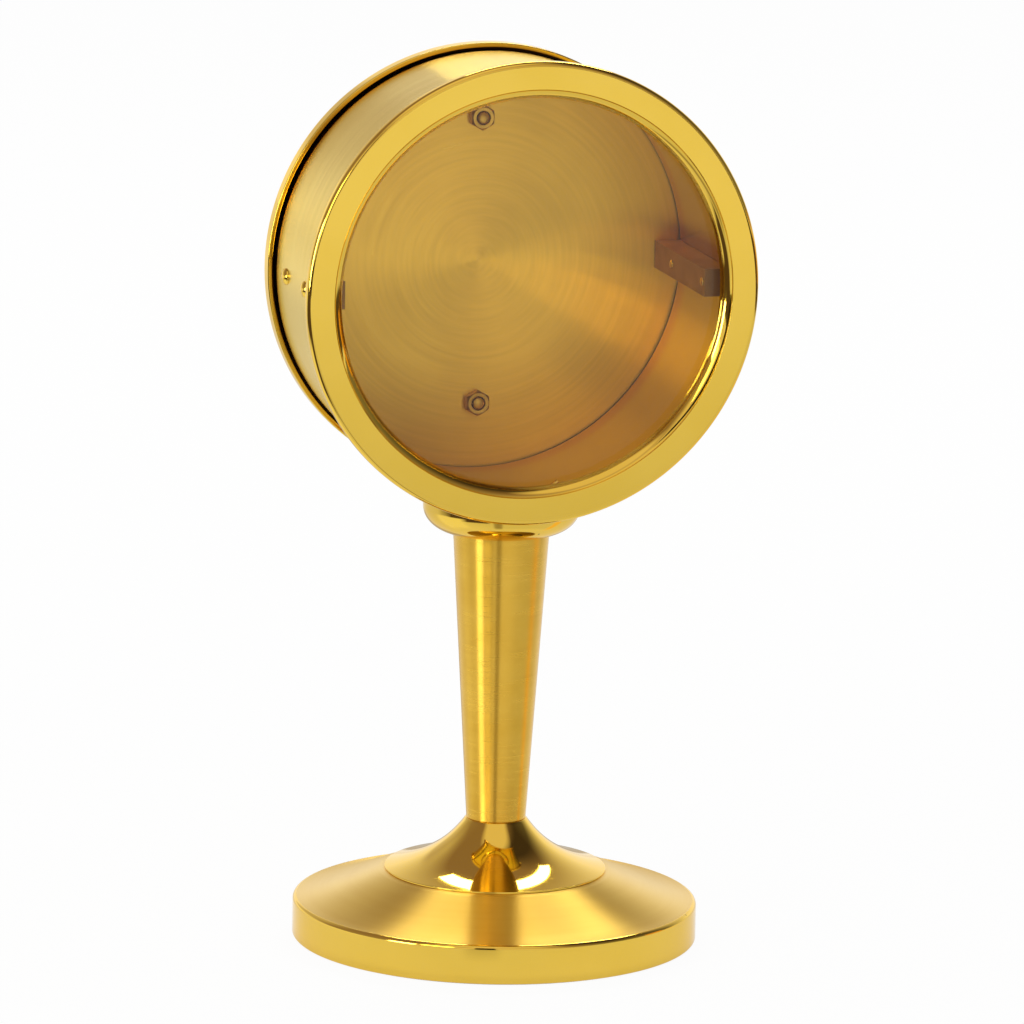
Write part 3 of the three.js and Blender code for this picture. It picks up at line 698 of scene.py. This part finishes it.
hinge = {
    "x": 55.0, "y": 21.4, "knuckle": 1.5, "pin": 0.75, "bore": 0.83, "width": 9.0, "middle": 2.8, "gap": 0.2,
    "sheet": 0.8, "strapX": 51.45, "strapEnd": -17.1, "crank": 43.0, "leafLength": 10.0, "softEdge": 0.12,
    "pinHead": 1.2, "pinHeadHeight": 0.6, "pinGap": 0.08, "pinRound": 0.15, "drill": 20,
}


def ringAround(radius, low, high):
    tube = [(0, low), (radius, low), (radius, high), (0, high)]
    return turned(tube, "Z", (hinge["x"], hinge["y"], caseHeight), steps=40)


crank = math.radians(hinge["crank"])
strapOut = hinge["strapX"] + hinge["sheet"]


def crankPoint(radius):
    return (hinge["x"] + radius * math.sin(crank), hinge["y"] - radius * math.cos(crank))


outerPoint = crankPoint(hinge["knuckle"])
innerPoint = crankPoint(hinge["knuckle"] - hinge["sheet"])
strapPlan = [
    (hinge["strapX"], hinge["strapEnd"]),
    (strapOut, hinge["strapEnd"]),
    (strapOut, outerPoint[1] - (outerPoint[0] - strapOut) * math.tan(crank)),
    outerPoint,
    innerPoint,
    (hinge["strapX"], innerPoint[1] - (innerPoint[0] - hinge["strapX"]) * math.tan(crank)),
]
halfWidth = hinge["width"] / 2
halfMiddle = hinge["middle"] / 2
beyondWidth = halfWidth + 1
clearRing = hinge["knuckle"] + hinge["gap"]
clearMiddle = halfMiddle + hinge["gap"]
strapMesh = shaped(
    prism(strapPlan, caseHeight - halfWidth, caseHeight + halfWidth),
    ("UNION", ringAround(hinge["knuckle"], -halfWidth, halfWidth)),
    ("DIFFERENCE", ringAround(clearRing, -clearMiddle, clearMiddle)),
    ("DIFFERENCE", ringAround(hinge["bore"], -hinge["drill"], hinge["drill"])),
)
piece("hingeStrap", strapMesh, stand, [polished], ["hinge_strap"],
      softEdge=hinge["softEdge"])

leafBack = pan["back"] + hinge["sheet"]
leafRight = hinge["x"] + hinge["sheet"] / 2
leafLeft = hinge["x"] - hinge["sheet"] / 2
leafEnd = hinge["x"] - hinge["leafLength"]
leafPlan = [
    (leafLeft, hinge["y"]),
    (leafRight, hinge["y"]),
    *roundPart((leafRight - hinge["sheet"], leafBack - hinge["sheet"]), (hinge["sheet"],) * 2, 0, 90, 6),
    (leafEnd, leafBack),
    (leafEnd, pan["back"]),
    (leafLeft, pan["back"]),
]
leafMesh = shaped(
    prism(leafPlan, caseHeight - halfWidth, caseHeight + halfWidth),
    ("UNION", ringAround(hinge["knuckle"], -halfMiddle, halfMiddle)),
    ("DIFFERENCE", ringAround(clearRing, halfMiddle, beyondWidth)),
    ("DIFFERENCE", ringAround(clearRing, -beyondWidth, -halfMiddle)),
    ("DIFFERENCE", ringAround(hinge["bore"], -hinge["drill"], hinge["drill"])),
)
piece("hingeLeaf", leafMesh, door, [polished], ["hinge_leaf"],
      softEdge=hinge["softEdge"])
pinTop = halfWidth + hinge["pinGap"]
pinOutline = [
    (0, -halfWidth), (hinge["pin"], -halfWidth, hinge["pinRound"]), (hinge["pin"], pinTop),
    *roundPart((0, pinTop), (hinge["pinHead"], hinge["pinHeadHeight"]), 0, 90, 6),
]
piece("hingePin", turned(pinOutline, "Z", (hinge["x"], hinge["y"], caseHeight), steps=32), stand,
      [steel], ["hinge_pin"])

# Thumb screw with a straight knurl

thumb = {
    "x": -47.225, "end": 17.7, "shank": 1.5, "seat": 24.35, "collar": 2.6, "collarHeight": 0.7, "head": 4.0,
    "top": 28.25, "teeth": 20, "toothDepth": 0.35, "chamfer": 0.5,
}
thumbHead = thumb["seat"] + thumb["collarHeight"]
thumbOutline = [
    (0, thumb["end"]),
    (thumb["shank"], thumb["end"], 0.3),
    (thumb["shank"], thumb["seat"]),
    (thumb["collar"], thumb["seat"]),
    (thumb["collar"], thumbHead),
    (thumb["head"] - thumb["chamfer"], thumbHead),
    (thumb["head"], thumbHead + thumb["chamfer"]),
    (thumb["head"], thumb["top"] - thumb["chamfer"]),
    (thumb["head"] - thumb["chamfer"], thumb["top"]),
    (0, thumb["top"]),
]
thumbMesh = turned(thumbOutline, "Y", steps=thumb["teeth"] * 8)
for vert in thumbMesh.verts:
    if math.hypot(vert.co.x, vert.co.z) > thumb["head"] - 0.01:
        wave = 0.5 - 0.5 * math.cos(thumb["teeth"] * math.atan2(vert.co.z, vert.co.x))
        shrink = 1 - thumb["toothDepth"] / thumb["head"] * wave
        vert.co.x *= shrink
        vert.co.z *= shrink
thumbMesh.transform(Matrix.Translation((thumb["x"], 0, caseHeight)))
piece("doorScrew", thumbMesh, lock, [polished], ["door_screw"])

# Relic screws: slotted heads and washers behind the door, nuts inside it

relic = {
    "offset": 34.7, "radius": 1.5, "end": 20.6, "endRound": 0.6, "head": 2.8, "headHeight": 1.67,
    "headEdge": 0.35, "headRound": 0.15, "slot": 0.8, "washer": 3.5, "washerHole": 1.65, "washerHeight": 0.5,
    "washerGap": 0.02, "washerRound": 0.12, "nutFlats": 5.5, "nutHeight": 2.4, "nutBore": 1.65,
    "nutBoreRound": 0.2, "nutChamfer": 0.8, "nutFace": 0.8, "nutUncut": 1.02, "slotReach": 5, "slotTop": 4,
}
seat = pan["back"] + relic["washerHeight"]
washerLow = pan["back"] + relic["washerGap"]
headRise = relic["headHeight"] * relic["headEdge"]
headCrown = relic["headHeight"] * (1 - relic["headEdge"])
screwOutline = [
    *roundPart((0, relic["end"] + relic["endRound"]), (relic["radius"], relic["endRound"]), -90, 0, 6),
    (relic["radius"], seat),
    (relic["head"], seat, relic["headRound"]),
    *roundPart((0, seat + headRise), (relic["head"], headCrown), 0, 90, 9),
]
slotLow = (-relic["slotReach"], seat + relic["headHeight"] / 2, -relic["slot"] / 2)
slotHigh = (relic["slotReach"], seat + relic["slotTop"], relic["slot"] / 2)
washerOutline = [
    (relic["washerHole"], washerLow), (relic["washer"], washerLow, relic["washerRound"]),
    (relic["washer"], seat, relic["washerRound"]), (relic["washerHole"], seat),
]
corner = relic["nutFlats"] / math.sqrt(3)
nutFront = pan["inner"] - relic["nutHeight"]
nutOutline = [
    (relic["nutBore"], nutFront, relic["nutBoreRound"]),
    (corner * relic["nutFace"], nutFront),
    (corner * relic["nutUncut"], nutFront + relic["nutChamfer"]),
    (corner * relic["nutUncut"], pan["inner"]),
    (relic["nutBore"], pan["inner"]),
]
nutTurns = [math.radians(60 * k) for k in range(6)]
nutPlan = [(corner * math.sin(turn), corner * math.cos(turn)) for turn in nutTurns]


def screwFinish(place):
    # the end inside the door was left dull
    return 1 if place.y < pan["inner"] else 0


for place, sign in (("upper", 1), ("lower", -1)):
    centre = (0, 0, caseHeight + sign * relic["offset"])
    label = place.capitalize()
    screw = shaped(turned(screwOutline, "Y", steps=48), ("DIFFERENCE", block(slotLow, slotHigh)))
    screw.transform(Matrix.Translation(centre))
    piece("relicScrew" + label, screw, door, [polished, nutBrass], ["relic_screw_" + place],
          choose=screwFinish)
    washer = turned(washerOutline, "Y", centre, steps=48, closed=True)
    piece("relicWasher" + label, washer, door, [polished], ["relic_washer_" + place])
    hexagon = prism(nutPlan, 0, 30)
    hexagon.transform(axisTurns["Y"])
    nut = shaped(turned(nutOutline, "Y", steps=60, closed=True), ("INTERSECT", hexagon))
    nut.transform(Matrix.Translation(centre))
    piece("relicNut" + label, nut, door, [nutBrass], ["relic_nut_" + place], creaseAngle=25)
print("bars, door, hinge and screws made")

# Hidden parts that keep their CAD solids

for node, material in (("base_weight", iron), ("tie_rod", steel), ("tie_nut", steel), ("tie_washer", steel)):
    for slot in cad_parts[node].material_slots:
        slot.material = material


# Studio

floorLook = {
    "size": 12.0, "colour": (0.9, 0.9, 0.9, 1), "shade": (0.88, 0.88, 0.88, 1),
    "shown": 0.95, "mirrored": 0.5,
    "sweepMiddle": 0.075, "sweepHalf": 0.545, "sweepEdge": 0.05, "sweepOpens": (0.2, 0.45),
    "beyond": (0.10, 0.07, 0.07, 1),
    "reachScale": 0.8, "lightByReach": [(0.05, 1.1), (0.2, 0.9), (0.4, 0.84), (0.84, 1.42)],
    "flag": {"azimuth": -66, "edge": (0.78, 0.88), "starts": (0.2, 0.24)},
    "wedgesFrom": (0.07, 0.10), "wedgesTo": (0.36, 0.46),
    "wedges": [
        (20, 50, 5, (0.82, 0.82, 0.82, 1)),
        (-100, 20, 12, (1.1, 1.1, 1.05, 1)),
        (-21, 4, 4, (0.4, 0.36, 0.32, 1)),
        (80, 5, 4, (1.1, 0.76, 0.28, 1)),
        (170, 16, 8, (0.55, 0.5, 0.42, 1)),
    ],
}
domeLook = {
    "radius": 4.0, "low": 3.0, "side": (0.31, 0.225, 0.24, 1), "dark": (0.06, 0.045, 0.05, 1),
    "frontColour": (1.1, 1.0, 0.95, 1), "sweepColour": (1.15, 1.15, 1.15, 1),
    "sweepAzimuth": 168, "sweepHeights": (12, 48), "sweepEdge": (0.38, 0.84), "sweepLeast": 0.15,
    "leftEdge": (0.41, 0.49), "leftFrom": (9, 14), "leftTo": (26, 34), "leftShade": 0.45,
    "darkAzimuth": 85, "darkEdge": (0.55, 0.95),
    "patch": (-15, 64), "patchHalf": (30, 20), "patchShare": 0.75,
    "lowPatchAzimuth": -22, "lowPatchHalf": (52, 28), "lowPatchTop": (0.5, 0.75), "lowPatchShare": 0.7,
}
worldDiffuse = 0.6


def towards(azimuth, elevation=0.0):
    # a direction: azimuth 0 is the front, -Y, and 90 is the right, +X
    a, e = math.radians(azimuth), math.radians(elevation)
    return Vector((math.sin(a) * math.cos(e), -math.cos(a) * math.cos(e), math.sin(e)))


def sines(degrees):
    return [math.sin(math.radians(angle)) for angle in degrees]


def cosines(degrees):
    return [math.cos(math.radians(angle)) for angle in degrees]


def facing(f, sight, azimuth, elevation=0.0):
    # 1 where a line of sight points that way, and less beside it
    return f.vector("DOT_PRODUCT", sight, tuple(towards(azimuth, elevation)), output="Value")


def larger(first, second):
    return first.maths("MAXIMUM", first, second)


def seenRays(f):
    rays = f.node("ShaderNodeLightPath", output="Is Camera Ray")
    return rays, larger(rays.of("Is Glossy Ray"), rays.of("Is Transmission Ray"))


def studioFloor():
    bm = bmesh.new()
    bmesh.ops.create_grid(bm, x_segments=4, y_segments=4, size=floorLook["size"] / 2)
    floor = meshObject(bm, "studioFloor")
    f = newFinish("studioFloor")
    shown, mirrored = seenRays(f)
    tone = f.blend(f.noise(f.place(), 6, 3), floorLook["colour"], floorLook["shade"])
    matt = f.node("ShaderNodeBsdfPrincipled", None, {
        "Base Color": tone, "Roughness": 0.9, "Specular IOR Level": 0.1,
    })
    level = f.vector("NORMALIZE", f.place())
    reach = f.vector("LENGTH", f.place(), output="Value")
    # the white sweep is a strip that runs from front to back, and the metal sees its two sides end
    parts = f.node("ShaderNodeSeparateXYZ", None, {0: f.place()})
    across = parts - floorLook["sweepMiddle"]
    sweepHalf, sweepEdge = floorLook["sweepHalf"], floorLook["sweepEdge"]
    outside = f.ramp(across.maths("ABSOLUTE", across), sweepHalf - sweepEdge, sweepHalf + sweepEdge)
    outside = outside * (1 - f.ramp(parts.of("Y"), *floorLook["sweepOpens"]))
    stops = [(place, (light, light, light, 1)) for place, light in floorLook["lightByReach"]]
    lit = f.node("ShaderNodeValToRGB", {"stops": stops}, {0: reach * floorLook["reachScale"]})
    seen = f.blend(outside, lit, floorLook["beyond"])
    # a dark flag at the left
    flag = floorLook["flag"]
    flagged = f.ramp(facing(f, level, flag["azimuth"]), *flag["edge"]) * f.ramp(reach, *flag["starts"])
    seen = f.blend(flagged, seen, floorLook["beyond"])
    covered = larger(outside, flagged)
    # cards that lie round the foot: azimuth, half width, soft edge and colour
    near = f.ramp(reach, *floorLook["wedgesFrom"]) * (1 - f.ramp(reach, *floorLook["wedgesTo"]))
    for azimuth, half, soft, colour in floorLook["wedges"]:
        wedge = near * f.ramp(facing(f, level, azimuth), *cosines((half + soft, half)))
        seen = f.blend(wedge, seen, colour)
        covered = larger(covered, wedge)
    glow = f.emission(f.blend(mirrored, (1, 1, 1, 1), seen))
    strength = floorLook["mirrored"] + covered * (1 - floorLook["mirrored"])
    share = shown * floorLook["shown"] + mirrored * strength
    floor.data.materials.append(f.surface(f.node("ShaderNodeMixShader", None, {0: share, 1: matt, 2: glow})))


def studioWorld():
    world = bpy.data.worlds.new("studioWorld")
    bpy.context.scene.world = world
    f = Finish(world)
    shown, mirrored = seenRays(f)
    share = shown + mirrored
    strength = share + (1 - share) * worldDiffuse
    sky = f.node("ShaderNodeBackground", None, {"Color": (1, 1, 1, 1), "Strength": strength})
    f.node("ShaderNodeOutputWorld", None, {"Surface": sky})


def mirroredOnly(made):
    # seen in the metal only, as a photographer's flags and backdrops are
    made.visible_camera = False
    made.visible_diffuse = False
    made.visible_shadow = False
    made.data.materials[0].cycles.emission_sampling = "NONE"


def studioDome():
    # the room above the floor: a white sweep low behind the piece, dim sides, a darker right,
    # and two paler patches in front, one high and one low
    low = math.radians(domeLook["low"])
    rises = [low + (math.pi / 2 - low) * i / 16 for i in range(17)]
    domeOutline = [(domeLook["radius"] * math.cos(a), domeLook["radius"] * math.sin(a)) for a in rises]
    dome = meshObject(turned(domeOutline, steps=48), "studioDome")
    f = newFinish("studioDome")
    sight = f.vector("NORMALIZE", f.place())
    rise = f.vector("DOT_PRODUCT", sight, (0, 0, 1), output="Value")
    level = f.vector("NORMALIZE", f.vector("MULTIPLY", sight, (1, 1, 0)))
    lowGlow = 1 - f.ramp(rise, *sines(domeLook["sweepHeights"]))
    # a ramp ends at 0, so the middle of the room is put at 0.5
    leftward = f.vector("DOT_PRODUCT", level, (1, 0, 0), output="Value") + 0.5
    leftHalf = 1 - f.ramp(leftward, *domeLook["leftEdge"])
    leftHigh = leftHalf * f.ramp(rise, *sines(domeLook["leftFrom"]))
    leftHigh = leftHigh * (1 - f.ramp(rise, *sines(domeLook["leftTo"])))
    behind = f.ramp(facing(f, level, domeLook["sweepAzimuth"]), *domeLook["sweepEdge"])
    glow = lowGlow * (domeLook["sweepLeast"] + behind) * (1 - leftHigh * domeLook["leftShade"])
    right = f.ramp(facing(f, level, domeLook["darkAzimuth"]), *domeLook["darkEdge"])
    side = f.blend(right, domeLook["side"], domeLook["dark"])
    patch = f.ramp(facing(f, sight, *domeLook["patch"]), *cosines(domeLook["patchHalf"]))
    patch = patch * domeLook["patchShare"]
    lowPatch = f.ramp(facing(f, level, domeLook["lowPatchAzimuth"]), *cosines(domeLook["lowPatchHalf"]))
    lowPatch = lowPatch * (1 - f.ramp(rise, *domeLook["lowPatchTop"])) * domeLook["lowPatchShare"]
    room = f.blend(larger(patch, lowPatch), side, domeLook["frontColour"])
    dome.data.materials.append(f.surface(f.emission(f.blend(glow, room, domeLook["sweepColour"]))))
    mirroredOnly(dome)


def card(name, azimuth, distance, extent, colour):
    # an upright card that faces the piece: extent is its width, its lower edge and its upper edge
    width, low, high = extent
    bm = bmesh.new()
    bmesh.ops.create_grid(bm, x_segments=1, y_segments=1, size=0.5)
    bm.transform(Matrix.Diagonal((width, high - low, 1, 1)))
    bm.transform(Matrix.Rotation(math.radians(90), 4, "X"))
    bm.transform(Matrix.Rotation(math.radians(azimuth), 4, "Z"))
    bm.transform(Matrix.Translation(towards(azimuth) * distance + Vector((0, 0, (low + high) / 2))))
    made = meshObject(bm, name)
    f = newFinish(name)
    made.data.materials.append(f.surface(f.emission(colour)))
    mirroredOnly(made)


def lamp(name, azimuth, elevation, distance, size, radiance, colour=(1, 1, 1), aim=0.1):
    light = bpy.data.lights.new(name, "AREA")
    light.color = colour
    light.shape = "RECTANGLE"
    light.size, light.size_y = size
    light.energy = radiance * math.pi * size[0] * size[1]
    made = bpy.data.objects.new(name, light)
    place = towards(azimuth, elevation) * distance + Vector((0, 0, aim))
    made.location = place
    made.rotation_euler = (Vector((0, 0, aim)) - place).to_track_quat("-Z", "Y").to_euler()
    made.visible_camera = False
    bpy.context.scene.collection.objects.link(made)


studioFloor()
studioWorld()
studioDome()
lamp("softBack", 157, 46, 1.5, (0.9, 0.22), 11.0)
lamp("softLeft", -49, 18, 1.6, (0.5, 0.5), 5.0, (1.0, 0.92, 0.4))
lamp("softStem", -69, 5, 1.6, (0.46, 0.7), 9.0)
card("cameraShade", -21, 1.0, (0.2, 0.0, 0.7), (0.02, 0.02, 0.02, 1))
card("warmEdge", 84, 1.0, (0.25, 0.0, 0.25), (0.95, 0.45, 0.05, 1))
print("studio made")

# Camera at the photograph's angle

view = {
    "azimuth": -16.65, "elevation": 11.76, "roll": 1.1, "distance": 2.1761, "across": 0.00248,
    "height": 0.10401, "focalPixels": 9132.6, "framePixels": 1024, "sensor": 36,
}


def makeCamera():
    azimuth, roll = math.radians(view["azimuth"]), math.radians(view["roll"])
    back = towards(view["azimuth"], view["elevation"])
    right = Vector((math.cos(azimuth), math.sin(azimuth), 0))
    up = back.cross(right)
    tiltedRight = right * math.cos(roll) + up * math.sin(roll)
    tiltedUp = up * math.cos(roll) - right * math.sin(roll)
    place = right * view["across"] + Vector((0, 0, view["height"])) + back * view["distance"]
    camera = bpy.data.objects.new("camera", bpy.data.cameras.new("camera"))
    camera.data.sensor_width = view["sensor"]
    camera.data.lens = view["focalPixels"] / view["framePixels"] * view["sensor"]
    camera.data.clip_start, camera.data.clip_end = 0.05, 50
    turn = Matrix((tiltedRight, tiltedUp, back)).transposed().to_4x4()
    camera.matrix_world = Matrix.Translation(place) @ turn
    bpy.context.scene.collection.objects.link(camera)
    bpy.context.scene.camera = camera


makeCamera()
bpy.context.scene.view_settings.view_transform = "Standard"
